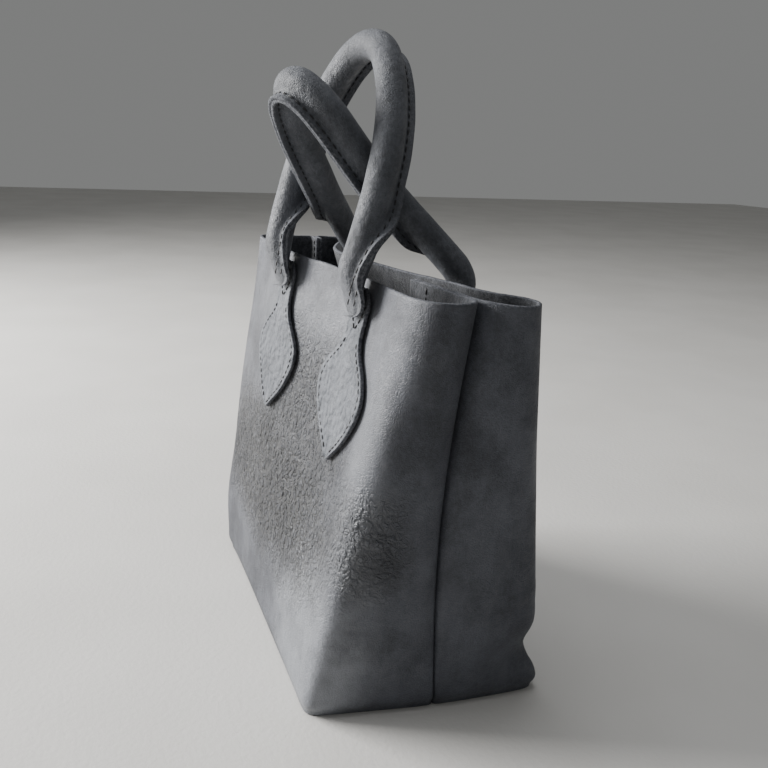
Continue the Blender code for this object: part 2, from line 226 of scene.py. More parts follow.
# Where the leather is wrinkled into a fine crackle, or rubbed smooth and painted pale as a highlight and
# sheen:
# the patches' centres, half sizes and strength
PATCH_COLUMNS = ("centre", "reach", "strength")
CRACKLED = (
    ((-0.010, -0.058, 0.085), (0.095, 0.040, 0.040), 1.0),
    ((0.020, -0.050, 0.135), (0.055, 0.040, 0.045), 0.75),
    ((0.100, -0.040, 0.098), (0.026, 0.026, 0.026), 0.50),
)
# Patches rubbed smooth on the front panel's lower part, top and near bend. The pale colour painted into
# them is mostly a painted highlight and sheen.
SHEEN_AND_RUBBED = (
    ((0.080, -0.062, 0.030), (0.050, 0.030, 0.050), 1.0),
    ((0.030, -0.060, 0.185), (0.100, 0.050, 0.030), 0.40),
    ((0.102, -0.046, 0.140), (0.014, 0.020, 0.095), 0.55),
)

# The pale colour of a painted highlight and sheen over rubbed leather
SHEEN_AND_RUBBED_COLOUR = (0.235, 0.247, 0.272)

# The relief of the leather: heights, the waves' lengths on each axis, and seeds of the noise
SWELL_HEIGHT = 0.00055
SWELL_WAVE = (0.045, 0.045, 0.075)
SWELL_SEED = 3.1
DRAG_HEIGHT = 0.00028
DRAG_WAVE = (0.011, 0.011, 0.060)
DRAG_SEED = 8.7
BEND_REACH = 0.004
BEND_WAVE = (0.02, 0.02, 0.02)
BEND_SEEDS = (1.3, 5.9, 9.2)
FOLD_HEIGHT = 0.00042
FOLD_SHARPNESS = 2.2
FOLD_WAVE = (0.0085, 0.0085, 0.0060)
FOLD_SEED = 12.4
RIM_WAVE_HEIGHT = 0.0007
RIM_WAVE = (0.030, 0.030, 1.0)
RIM_WAVE_SEED = 6.2
RIM_WAVE_FROM = 0.90
LUMP_HEIGHT = 0.00022
LUMP_WAVE = (0.012, 0.012, 0.012)
LUMP_SEED = 2.7

# The raw edge's section: shares of the way through the leather, and of its bulge there
EDGE_SECTION = ((0.12, 0.55), (0.35, 0.95), (0.5, 0.85), (0.65, 0.95), (0.88, 0.55))
EDGE_BULGE = 0.22
EDGE_RAGGED = 0.35
EDGE_WAVE = (0.0025, 0.0025, 0.0025)
EDGE_SEED = 4.4

# Long soft creases: both ends, the half width and the depth
CREASE_COLUMNS = ("start", "end", "width", "depth")
CREASES = (
    ((0.115, 0.056, 0.056), (0.115, 0.002, 0.036), 0.0050, 0.0011),
    ((0.115, 0.060, 0.032), (0.115, 0.010, 0.008), 0.0040, 0.0009),
    ((0.112, -0.010, 0.050), (0.100, -0.052, 0.012), 0.0060, 0.0008),
    ((0.106, -0.046, 0.120), (0.116, -0.012, 0.100), 0.0035, 0.0005),
    ((0.102, -0.048, 0.105), (0.114, -0.014, 0.082), 0.0035, 0.0005),
    ((-0.060, -0.066, 0.120), (0.030, -0.062, 0.060), 0.0060, 0.0005),
)

# Studio lights
LIGHT_COLUMNS = ("name", "place", "size", "power", "colour")
LIGHTS = (
    ("window", (-0.80, -1.20, 0.66), 0.8, 80.0, (1.0, 0.99, 0.97)),
    ("sky", (-0.20, -0.30, 1.70), 1.2, 15.0, (0.97, 0.98, 1.0)),
    ("fill", (1.50, 0.30, 0.80), 1.2, 1.5, (1.0, 0.99, 0.98)),
)
LIGHTS_AIM = (0.0, 0.0, 0.14)

# The photograph's camera
CAMERA_PLACE = (0.4390, -0.1605, 0.2800)
CAMERA_RIGHT = (0.3503, 0.9355, 0.0457)
CAMERA_DOWN = (0.2765, -0.0566, -0.9593)
CAMERA_FORWARD = (-0.8949, 0.3487, -0.2785)
FOCAL_PIXELS = 828.0
FRAME_PIXELS = 768.0
SENSOR_MM = 36.0


def named(columns, row):
    """A row of a table as a dictionary by column name."""
    return dict(zip(columns, row))


def mix(a, b, share):
    return a + (b - a) * share


def smooth(share):
    """A smooth step from 0 to 1."""
    share = np.clip(share, 0.0, 1.0)
    return share * share * (3 - 2 * share)


def unit(vectors):
    return vectors / np.maximum(np.linalg.norm(vectors, axis=-1, keepdims=True), 1e-12)


def spline_through_pull(points, steps):
    """A cubic B-spline pulled towards the points, which starts and ends on the first and last."""
    points = np.asarray(points)
    ends = np.vstack([2 * points[0] - points[1], points, 2 * points[-1] - points[-2]])
    a, b, c, d = ends[:-3, None], ends[1:-2, None], ends[2:-1, None], ends[3:, None]
    t = (np.arange(steps) / steps)[None, :, None]
    curve = (
        a * (1 - t) ** 3
        + b * (3 * t**3 - 6 * t**2 + 4)
        + c * (-3 * t**3 + 3 * t**2 + 3 * t + 1)
        + d * t**3
    ) / 6
    return np.vstack([curve.reshape(-1, points.shape[1]), points[-1]])


def spline_on_points(points, count):
    """Evenly spaced points on a Catmull-Rom curve that passes through every point."""
    points = np.asarray(points)
    ends = np.vstack([2 * points[0] - points[1], points, 2 * points[-1] - points[-2]])
    a, b, c, d = ends[:-3, None], ends[1:-2, None], ends[2:-1, None], ends[3:, None]
    t = (np.arange(CURVE_STEPS) / CURVE_STEPS)[None, :, None]
    fine = (
        2 * b + (c - a) * t + (2 * a - 5 * b + 4 * c - d) * t**2 + (3 * b - a - 3 * c + d) * t**3
    ) / 2
    fine = np.vstack([fine.reshape(-1, points.shape[1]), points[-1]])
    lengths = np.append(0.0, np.cumsum(np.linalg.norm(np.diff(fine, axis=0), axis=1)))
    wanted = np.linspace(0.0, lengths[-1], count)
    return np.stack([np.interp(wanted, lengths, fine[:, k]) for k in range(points.shape[1])], axis=1)


def seam_rows(end, side, share):
    """The panel's control points at one side seam, from the nose to the crease, at a height share."""
    seam = named(SEAM_COLUMNS, SEAMS[end])
    fold_depth, nose = FOLDS[end]
    bow = seam["bow"] * BASE_DEPTH / 2 * math.sin(math.pi * share)
    mouth = np.array(
        (
            mix(seam["foot_x"] * BASE_LENGTH, seam["rim_x"] * RIM_LENGTH, share) / 2,
            mix(seam["foot_y"] * BASE_DEPTH, seam["rim_y"] * RIM_DEPTH, share) / 2 + bow,
            share * seam["height"] * BODY_HEIGHT,
        )
    )
    heading = math.radians(mix(seam["foot_heading"], seam["rim_heading"], share))
    inward = np.array((math.cos(heading), math.sin(heading), 0.0))
    sideways = np.array((-inward[1], inward[0], 0.0))
    if sideways[1] * side < 0:
        sideways = -sideways
    open_share = share**FOLD_EASE
    depth = mix(FOOT_FOLD_DEPTH, fold_depth, open_share)
    out = mix(FOOT_NOSE, nose, open_share)
    middle = mouth + sideways * (LEATHER + FIT_GAP) / 2
    fold = [middle + inward * depth * k / FOLD_SPANS for k in range(FOLD_SPANS + 1)]
    return [middle - inward * out] + fold


def face_rows(side, share):
    """The control points of a panel's visible rows at a height share, with its belly."""
    points = []
    swell = BELLY * math.sin(math.pi * share) ** 2
    for row in PANEL_ROWS[side]:
        at = named(PANEL_COLUMNS, row)
        point = np.array(
            (
                mix(at["foot_x"] * BASE_LENGTH, at["rim_x"] * RIM_LENGTH, share) / 2,
                mix(at["foot_y"] * BASE_DEPTH, at["rim_y"] * RIM_DEPTH, share) / 2,
                share * at["height"] * BODY_HEIGHT,
            )
        )
        sideways = BELLY_SIDEWAYS * math.copysign(1, point[0])
        outward = np.array((sideways, math.copysign(1, at["foot_y"]), 0.0))
        points.append(point + unit(outward) * swell * at["belly"])
    return points


def panel_curve(side, share):
    """A panel's middle line in plan at a height share, from its far raw edge to its near one."""
    far = seam_rows("far", side, share)[::-1]
    near = seam_rows("near", side, share)
    points = np.array(far + face_rows(side, share) + near)
    height = share * BODY_HEIGHT
    tuck = TUCK * (1 + math.cos(math.pi * min(1.0, height / TUCK_HEIGHT))) / 2
    points[:, 0] *= 1 - 2 * tuck / BASE_LENGTH
    points[:, 1] *= 1 - 2 * tuck / BASE_DEPTH
    points[:, 2] += WALL_LIFT * (1 - share)
    return dented(spline_through_pull(points, SPAN_STEPS), side, share)


def outward_of(curve, side):
    """The unit normals of a plan curve that point out of the bag."""
    padded = np.vstack([curve[:1], curve, curve[-1:]])
    run = padded[2:] - padded[:-2]
    normal = unit(np.stack([run[:, 1], -run[:, 0], np.zeros(len(run))], axis=1))
    return -normal * side


def dented(curve, side, share):
    """The curve with this panel's soft dents pushed in."""
    names = [row[0] for row in PANEL_ROWS[side]]
    moved = curve.copy()
    outward = outward_of(curve, side)
    for entry in DENTS:
        dent = named(DENT_COLUMNS, entry)
        if dent["side"] != side:
            continue
        centre = (SEAM_POINTS + names.index(dent["row"])) * SPAN_STEPS
        rise = math.exp(-(((share - dent["height"]) / dent["spread"]) ** 2))
        along = (np.arange(len(curve)) - centre) / (dent["reach"] * SPAN_STEPS)
        moved -= outward * (dent["depth"] * rise * np.exp(-(along**2)))[:, None]
    return moved


def surface_at_x(side, x, share):
    """The point of the panel's broad face at a length x, read off its plan curve."""
    names = [row[0] for row in PANEL_ROWS[side]]
    curve = panel_curve(side, min(max(share, 0.0), 1.0))
    first = (SEAM_POINTS + names.index("far_corner")) * SPAN_STEPS
    last = (SEAM_POINTS + names.index("near_corner")) * SPAN_STEPS
    stretch = curve[first : last + 1]
    across, height = (np.interp(x, stretch[:, 0], stretch[:, k]) for k in (1, 2))
    point = np.array([x, across, height])
    point[2] += max(0.0, share - 1.0) * BODY_HEIGHT
    return point


def face_point(side, x, share):
    """The panel's middle surface at a length x and height share, and its outward normal there."""
    rise = surface_at_x(side, x, share + PROBE_SHARE) - surface_at_x(side, x, share - PROBE_SHARE)
    run = surface_at_x(side, x + PROBE_X, share) - surface_at_x(side, x - PROBE_X, share)
    normal = unit(np.cross(run, rise))
    return surface_at_x(side, x, share), normal if normal[1] * side > 0 else -normal


def in_patches(points, patches):
    """How far each point lies inside any of the patches, from 0 outside to its strength at a centre."""
    share = np.zeros(points.shape[:-1])
    for entry in patches:
        patch = named(PATCH_COLUMNS, entry)
        away = np.linalg.norm((points - np.array(patch["centre"])) / np.array(patch["reach"]), axis=-1)
        share = np.maximum(share, patch["strength"] * smooth(1.25 - away))
    return share


def creased(points):
    """How deep the long creases press in at each point, with a low ridge above each."""
    total = np.zeros(points.shape[:-1])
    for entry in CREASES:
        crease = named(CREASE_COLUMNS, entry)
        start, end = np.array(crease["start"]), np.array(crease["end"])
        run = end - start
        along = np.clip(((points - start) @ run) / run.dot(run), 0.0, 1.0)
        away = points - (start + along[..., None] * run)
        distance = np.linalg.norm(away, axis=-1) / crease["width"]
        above = np.sign(away[..., 2])
        fade = np.sin(np.pi * np.clip(along, 0.04, 0.96)) ** 0.5
        shape = np.exp(-(distance**2)) - 0.5 * (above > 0) * np.exp(-((distance - 1.7) ** 2))
        total += crease["depth"] * fade * shape
    return total


def noise_at(points, scale, seed):
    """Perlin noise from -1 to 1 at each point, with a wavelength for each axis in metres."""
    flat = (points / np.array(scale)).reshape(-1, 3) + seed
    return np.array([noise.noise(Vector(p)) for p in flat]).reshape(points.shape[:-1])


def relief(points):
    """How far the leather stands out at each point: soft swells, and folds where it is wrinkled."""
    swell = SWELL_HEIGHT * noise_at(points, SWELL_WAVE, SWELL_SEED)
    drag = DRAG_HEIGHT * noise_at(points, DRAG_WAVE, DRAG_SEED)
    shifts = [noise_at(points, BEND_WAVE, seed) for seed in BEND_SEEDS]
    bent = points + BEND_REACH * np.stack(shifts, axis=-1)
    ridge = 1 - FOLD_SHARPNESS * np.abs(noise_at(bent, FOLD_WAVE, FOLD_SEED))
    fold = in_patches(points, CRACKLED) * FOLD_HEIGHT * ridge
    return swell + drag + fold - creased(points)


def normals_of(grid):
    """Unit normals of a grid of points, by central differences."""
    across = np.gradient(grid, axis=1)
    up = np.gradient(grid, axis=0)
    return unit(np.cross(across, up))


def shell(name, middle, thickness, looks):
    """A sheet of leather round a grid of middle points: grain side, flesh side and rounded raw edges.

    The grain side is the one that the grid's normals face. looks are the materials of the grain side,
    the flesh side and the raw edge.
    """
    rows, columns = middle.shape[:2]
    half = normals_of(middle) * thickness / 2
    outer, inner = middle + half, middle - half
    points = [outer.reshape(-1, 3), inner.reshape(-1, 3)]
    index = np.arange(rows * columns).reshape(rows, columns)
    below = index + rows * columns
    faces, slots = [], []

    def add(quads, slot):
        faces.append(quads.reshape(-1, 4))
        slots.append(np.full(len(faces[-1]), slot))

    add(np.stack([index[:-1, :-1], index[:-1, 1:], index[1:, 1:], index[1:, :-1]], axis=-1), 0)
    add(np.stack([below[:-1, :-1], below[1:, :-1], below[1:, 1:], below[:-1, 1:]], axis=-1), 1)
    loop = [(0, k) for k in range(columns - 1)] + [(k, columns - 1) for k in range(rows - 1)]
    loop += [(rows - 1, columns - 1 - k) for k in range(columns - 1)]
    loop += [(rows - 1 - k, 0) for k in range(rows - 1)]
    row, column = np.array(loop).T
    inside_row = np.clip(row, 1, rows - 2)
    inside_column = np.clip(column, 1, columns - 2)
    outward = unit(middle[row, column] - middle[inside_row, inside_column])
    previous = index[row, column]
    count = 2 * rows * columns
    ragged = 1 + EDGE_RAGGED * noise_at(middle[row, column], EDGE_WAVE, EDGE_SEED)
    for share, bulge in EDGE_SECTION:
        ring = mix(outer[row, column], inner[row, column], share)
        ring = ring + outward * (thickness * EDGE_BULGE * bulge * ragged)[:, None]
        here = count + np.arange(len(loop))
        points.append(ring)
        add(np.stack([previous, here, np.roll(here, -1), np.roll(previous, -1)], axis=-1), 2)
        previous = here
        count += len(loop)
    here = below[row, column]
    add(np.stack([previous, here, np.roll(here, -1), np.roll(previous, -1)], axis=-1), 2)
    return new_piece(name, np.vstack(points), np.vstack(faces), np.concatenate(slots), looks)


def new_piece(name, points, faces, slots, looks):
    """A smooth-shaded mesh object with one material for each slot number."""
    mesh = bpy.data.meshes.new(name)
    mesh.from_pydata([tuple(p) for p in points], [], [tuple(int(i) for i in f) for f in faces])
    for look in looks:
        mesh.materials.append(look)
    mesh.polygons.foreach_set("material_index", np.asarray(slots, dtype=np.int32))
    mesh.shade_smooth()
    mesh.validate()
    piece = bpy.data.objects.new(name, mesh)
    bpy.context.scene.collection.objects.link(piece)
    face_out(piece)
    return piece


def face_out(piece):
    """Turns the faces to point out of the closed mesh."""
    shape = bmesh.new()
    shape.from_mesh(piece.data)
    bmesh.ops.recalc_face_normals(shape, faces=shape.faces)
    if shape.calc_volume(signed=True) < 0:
        bmesh.ops.reverse_faces(shape, faces=shape.faces)
    shape.to_mesh(piece.data)
    shape.free()


def panel_grid(side):
    """The panel's middle surface with its relief, which fades out at the seams and the foot."""
    shares = np.linspace(0.0, 1.0, PANEL_LEVELS)
    grid = np.array([panel_curve(side, share) for share in shares])
    columns = grid.shape[1]
    from_end = np.minimum(np.arange(columns), columns - 1 - np.arange(columns)) / SPAN_STEPS
    free = smooth((from_end - SEAM_POINTS + 0.5) / 2.0)[None, :] * smooth(shares / 0.06)[:, None]
    outward = normals_of(grid)
    if np.sum(outward[PANEL_LEVELS // 2, columns // 2, 1]) * side < 0:
        outward = -outward
    grid = grid + outward * (relief(grid) * free)[..., None]
    wave = RIM_WAVE_HEIGHT * noise_at(grid[-1], RIM_WAVE, RIM_WAVE_SEED) * smooth((from_end - 2) / 3)
    rim = smooth((shares - RIM_WAVE_FROM) / 0.10)
    grid[..., 2] += rim[:, None] * wave[None, :]
    return grid if side < 0 else grid[:, ::-1]


# Materials
def node(tree, kind, **settings):
    made = tree.nodes.new(kind)
    for name, value in settings.items():
        setattr(made, name, value)
    return made


class Look:
    """A material under construction, with short ways to add the nodes that the leathers share."""

    def __init__(self, name, roughness, specular=0.35, sheen=0.0):
        self.material = bpy.data.materials.new(name)
        self.material.use_nodes = True
        self.tree = self.material.node_tree
        self.shader = self.tree.nodes["Principled BSDF"]
        self.shader.inputs["Roughness"].default_value = roughness
        self.shader.inputs["Specular IOR Level"].default_value = specular
        self.shader.inputs["Sheen Weight"].default_value = sheen
        self.shader.inputs["Sheen Roughness"].default_value = 0.45
        self.place = node(self.tree, "ShaderNodeTexCoord").outputs["Object"]

    def link(self, source, target):
        self.tree.links.new(source, target)

    def scaled(self, scale):
        made = node(self.tree, "ShaderNodeMapping")
        made.inputs["Scale"].default_value = scale
        self.link(self.place, made.inputs["Vector"])
        return made.outputs["Vector"]

    def cloud(self, scale, detail=3.0, roughness=0.55, stretch=(1, 1, 1)):
        made = node(self.tree, "ShaderNodeTexNoise")
        made.inputs["Scale"].default_value = scale
        made.inputs["Detail"].default_value = detail
        made.inputs["Roughness"].default_value = roughness
        self.link(self.scaled(stretch), made.inputs["Vector"])
        return made.outputs["Fac"]

    def bent(self, scale, amount):
        """The place pushed about by noise, so that cells and lines lose their regular look."""
        made = node(self.tree, "ShaderNodeTexNoise")
        made.inputs["Scale"].default_value = scale
        made.inputs["Detail"].default_value = 2.0
        self.link(self.place, made.inputs["Vector"])
        shift = node(self.tree, "ShaderNodeVectorMath", operation="MULTIPLY_ADD")
        self.link(made.outputs["Color"], shift.inputs[0])
        shift.inputs[1].default_value = (amount, amount, amount)
        self.link(self.place, shift.inputs[2])
        return shift.outputs["Vector"]

    def cells(self, scale, feature="DISTANCE_TO_EDGE", place=None):
        made = node(self.tree, "ShaderNodeTexVoronoi", feature=feature)
        made.inputs["Scale"].default_value = scale
        made.inputs["Randomness"].default_value = 1.0
        self.link(place or self.place, made.inputs["Vector"])
        return made.outputs["Distance"]

    def ramp(self, source, low, high, start=0.0, end=1.0):
        made = node(self.tree, "ShaderNodeMapRange", interpolation_type="SMOOTHSTEP")
        made.inputs["From Min"].default_value = low
        made.inputs["From Max"].default_value = high
        made.inputs["To Min"].default_value = start
        made.inputs["To Max"].default_value = end
        self.link(source, made.inputs["Value"])
        return made.outputs["Result"]

    def maths(self, operation, first, second):
        made = node(self.tree, "ShaderNodeMath", operation=operation)
        for socket, value in ((made.inputs[0], first), (made.inputs[1], second)):
            if isinstance(value, (int, float)):
                socket.default_value = value
            else:
                self.link(value, socket)
        return made.outputs["Value"]

    def patch(self, patches, ragged):
        """Each patch's strength inside it, falling to 0 at its edge, with the edge broken up."""
        found = None
        for entry in patches:
            patch = named(PATCH_COLUMNS, entry)
            away = node(self.tree, "ShaderNodeMapping", vector_type="TEXTURE")
            away.inputs["Location"].default_value = patch["centre"]
            away.inputs["Scale"].default_value = patch["reach"]
            self.link(self.place, away.inputs["Vector"])
            length = node(self.tree, "ShaderNodeVectorMath", operation="LENGTH")
            self.link(away.outputs["Vector"], length.inputs[0])
            broken = self.maths("ADD", length.outputs["Value"], self.maths("MULTIPLY", ragged, 0.9))
            inside = self.ramp(broken, 0.55, 1.55, patch["strength"], 0.0)
            found = inside if found is None else self.maths("MAXIMUM", found, inside)
        return found

    def blend(self, share, first, second):
        made = node(self.tree, "ShaderNodeMix", data_type="RGBA")
        self.link(share, made.inputs["Factor"])
        for socket, value in ((made.inputs[6], first), (made.inputs[7], second)):
            if isinstance(value, tuple):
                socket.default_value = (*value, 1.0)
            else:
                self.link(value, socket)
        return made.outputs[2]

    def bump(self, height, distance, strength=1.0, below=None):
        made = node(self.tree, "ShaderNodeBump")
        made.inputs["Distance"].default_value = distance
        made.inputs["Strength"].default_value = strength
        self.link(height, made.inputs["Height"])
        if below is not None:
            self.link(below, made.inputs["Normal"])
        return made.outputs["Normal"]

    def finish(self, colour, normal, roughness=None):
        self.link(colour, self.shader.inputs["Base Color"])
        self.link(normal, self.shader.inputs["Normal"])
        if roughness is not None:
            self.link(roughness, self.shader.inputs["Roughness"])
        return self.material


def grain_leather(name, dark, pale, crackle=1.0, wrinkled=True):
    """The dyed grain side: matte slate leather, mottled, with pores, fine crackle with painted shade in its
    cracks, and pale rubbed patches with a painted highlight.
    """
    look = Look(name, 0.55, 0.50, 0.06)
    ragged = look.maths("SUBTRACT", look.cloud(38, 4.0), 0.5)
    mottle = look.ramp(look.cloud(30, 8.0, 0.68), 0.34, 0.68)
    fine = look.ramp(look.cloud(520, 6.0, 0.75), 0.34, 0.68)
    drag = look.ramp(look.cloud(85, 7.0, 0.68, (1.0, 1.0, 0.16)), 0.36, 0.68)
    tones = look.maths("ADD", look.maths("MULTIPLY", mottle, 0.46), look.maths("MULTIPLY", fine, 0.30))
    tones = look.maths("ADD", tones, look.maths("MULTIPLY", drag, 0.20))
    if wrinkled:
        sheen_and_rubbed = look.patch(SHEEN_AND_RUBBED, ragged)
        wear_and_sheen_breakup = look.ramp(look.cloud(55, 7.0, 0.7), 0.25, 0.60, 0.35, 1.0)
        scuffs_and_sheen = look.maths("MULTIPLY", sheen_and_rubbed, wear_and_sheen_breakup)
        wrinkles = look.patch(CRACKLED, ragged)
        # Inside the crackle patches the tone is a little darker
        tones = look.maths("SUBTRACT", tones, look.maths("MULTIPLY", wrinkles, 0.10))
    colour = look.blend(tones, dark, pale)
    if wrinkled:
        # Paints a pale highlight and sheen into the rubbed patches, broken up by noise
        colour = look.blend(look.maths("MULTIPLY", scuffs_and_sheen, 0.72), colour, SHEEN_AND_RUBBED_COLOUR)
    bent = look.bent(70, 0.010)
    pore_height = look.ramp(look.cells(760, place=bent), 0.0, 0.16)
    pebble_height = look.ramp(look.cells(270, "SMOOTH_F1", bent), 0.15, 0.75, 1.0, 0.0)
    normal = look.bump(look.cloud(1100, 5.0, 0.75), 0.00022)
    normal = look.bump(pore_height, 0.00016, 0.8, normal)
    normal = look.bump(drag, 0.0004, 0.5, normal)
    if wrinkled:
        creases = look.cells(235, place=look.bent(85, 0.011))
        small_creases = look.cells(470, place=look.bent(160, 0.005))
        deep = look.ramp(creases, 0.0, 0.24)
        lines = look.maths("MULTIPLY", deep, look.ramp(small_creases, 0.0, 0.20, 0.35, 1.0))
        lined = look.maths("ADD", look.maths("MULTIPLY", look.maths("SUBTRACT", lines, 1.0), wrinkles), 1.0)
        # The crackle's crease lines are painted near black: painted shade in the cracks
        colour = look.blend(lined, tuple(0.30 * v for v in dark), colour)
        normal = look.bump(lined, 0.0016 * crackle, 1.0, normal)
        swells = look.maths("MULTIPLY", pebble_height, wrinkles)
        normal = look.bump(swells, 0.0012 * crackle, 1.0, normal)
        matte = look.ramp(mottle, 0.0, 1.0, 0.62, 0.46)
        roughness = look.maths("SUBTRACT", matte, look.maths("MULTIPLY", sheen_and_rubbed, 0.10))
    else:
        normal = look.bump(pebble_height, 0.00045 * crackle, 1.0, normal)
        roughness = look.ramp(mottle, 0.0, 1.0, 0.66, 0.50)
    return look.finish(colour, normal, roughness)


def flesh_leather(name, dark, pale):
    """The inside: undyed nap, rough and fibrous."""
    look = Look(name, 0.93, 0.15, 0.35)
    nap = look.cloud(700, 8.0, 0.75)
    clumps = look.cloud(150, 5.0, 0.65)
    colour = look.blend(look.ramp(look.maths("MULTIPLY", nap, clumps), 0.12, 0.42), dark, pale)
    normal = look.bump(nap, 0.0009, 0.9, look.bump(clumps, 0.0016, 0.8))
    return look.finish(colour, normal)


def edge_leather(name, dark, pale):
    """The raw cut edge, with the fibres of its layers."""
    look = Look(name, 0.85, 0.2)
    fibres = look.cloud(800, 6.0, 0.7)
    colour = look.blend(look.ramp(fibres, 0.35, 0.68), dark, pale)
    normal = look.bump(fibres, 0.0006, 0.9)
    return look.finish(colour, normal)


def thread(name, dark, pale):
    """Waxed thread, with the twist of its strands."""
    look = Look(name, 0.5, 0.4)
    strands = look.cloud(1500, 2.0)
    return look.finish(look.blend(strands, dark, pale), look.bump(strands, 0.0002))


# Pieces
def make_panel(name, side, looks):
    piece = shell(name, panel_grid(side), LEATHER, looks)
    return dress(piece, name.replace("_skin", ""))


def dress(piece, node_name):
    """Hangs the piece on the root body and hides the CAD node that it stands for."""
    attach(piece, "root")
    if node_name:
        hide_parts(node_name)
    return piece


def eased(path):
    """The path with its bends evened out between the legs, which stay as they are."""
    path = path.copy()
    for _ in range(EASING_ROUNDS):
        smoothed = (path[:-2] + 2 * path[1:-1] + path[2:]) / 4
        path[EASED_FROM:-EASED_FROM] = smoothed[EASED_FROM - 1 : 1 - EASED_FROM]
    return path


def handle_path(key):
    """The middle line of a handle: down each panel over the tail, and over the arch between."""
    row = named(HANDLE_COLUMNS, HANDLES[key])
    stand_off = LEATHER / 2 + TAB_GAP + LEATHER + TAB_GAP + HANDLE_DIAMETER / 2
    legs = []
    for leg in ("near_leg", "far_leg"):
        x = row[leg] * RIM_LENGTH / 2
        points = []
        for below in (HANDLE_TAIL, HANDLE_TAIL / 2, 0.0):
            seat, normal = face_point(row["side"], x, 1 - below / BODY_HEIGHT)
            points.append(seat + normal * stand_off)
        legs.append(points)
    near, far = legs[0][-1], legs[1][-1]
    middle, half = (near + far) / 2, (near - far) / 2
    across = unit(half)
    lean = math.radians(row["lean"])
    up = np.array((0.0, math.sin(lean), math.cos(lean)))
    up = unit(up - across * up.dot(across))
    rise = HANDLE_RISE * row["rise"]
    arch = [named(ARCH_COLUMNS, entry) for entry in ARCHES[key]]
    over = [(at["near"], at["rise"]) for at in arch]
    over += [(-at["far"], at["rise"]) for at in reversed(arch)]
    crown = [middle + half * share + up * rise * height for share, height in over]
    path = eased(spline_on_points(legs[0] + crown + legs[1][::-1], PATH_RINGS))
    path = spline_on_points(path, HANDLE_RINGS)
    return path, unit(np.cross(up, across)), row["flange_side"]


def handle_frames(key):
    """At each ring of the handle: its centre, its direction, the flange's way, and the way to its end."""
    path, plane_normal, side_x = handle_path(key)
    side = named(HANDLE_COLUMNS, HANDLES[key])["side"]
    inner = plane_normal if plane_normal[1] * -side > 0 else -plane_normal
    lengths = np.append(0.0, np.cumsum(np.linalg.norm(np.diff(path, axis=0), axis=1)))
    forward = unit(np.gradient(path, axis=0))
    from_end = np.minimum(lengths, lengths[-1] - lengths)
    turned = smooth((from_end - HANDLE_TAIL - FLANGE_TWIST_START) / FLANGE_TWIST_LENGTH)[:, None]
    flange = inner * turned + np.array((side_x, 0.0, 0.0)) * (1 - turned)
    flange = unit(flange - forward * np.sum(flange * forward, axis=1, keepdims=True))
    return path, forward, flange, from_end


def leg_normals(key, count):
    """The panel's outward normal under the nearer leg, for each ring of the handle."""
    row = named(HANDLE_COLUMNS, HANDLES[key])
    places = [row[leg] * RIM_LENGTH / 2 for leg in ("near_leg", "far_leg")]
    near, far = (face_point(row["side"], x, 1.0)[1] for x in places)
    first_half = (np.arange(count) < count / 2)[:, None]
    return np.where(first_half, near, far)


def handle_section(radius, width):
    """One section of the rolled handle as (along the flange, across it) points and a slot for each side.

    The core is round. Beside it the two edges of the strip are pinched flat by the stitches, and end in
    two raw edges with a fine gap between them.
    """
    start = math.asin(min(0.9, FLANGE_FILLET / radius))
    root = radius * math.cos(start)
    angles = np.linspace(start, 2 * math.pi - start, TUBE_SIDES + 1)
    points = [(radius * math.cos(a), radius * math.sin(a)) for a in angles]
    slots = [0] * len(points)
    share = min(1.0, width / FLANGE_WIDTH)
    lower = [(root + width * at, -half * share, slot) for at, half, slot in FLANGE_SECTION]
    upper = [(u, -v, slot) for u, v, slot in lower[:-1][::-1]]
    for u, v, slot in lower + upper:
        points.append((u, v))
        slots.append(slot)
    slots[-4:] = [0] * 4
    return np.array(points), slots


def flattened(grid, path, normals, from_end):
    """The handle's ends pressed flat against the tabs that they are sewn to."""
    flat = mix(FLAT_SHARE, 1.0, smooth(from_end / FLAT_LENGTH))
    normals = normals[:, None]
    offset = grid - path[:, None]
    out = np.sum(offset * normals, axis=2)
    moved = out * flat[:, None] - HANDLE_DIAMETER / 2 * (1 - flat[:, None])
    spread = mix(FLAT_SPREAD, 1.0, smooth(from_end / FLAT_LENGTH)) - 1
    beside = unit(np.cross(np.gradient(path, axis=0)[:, None], normals))
    sideways = np.sum(offset * beside, axis=2) * spread[:, None]
    return grid + (moved - out)[..., None] * normals + sideways[..., None] * beside


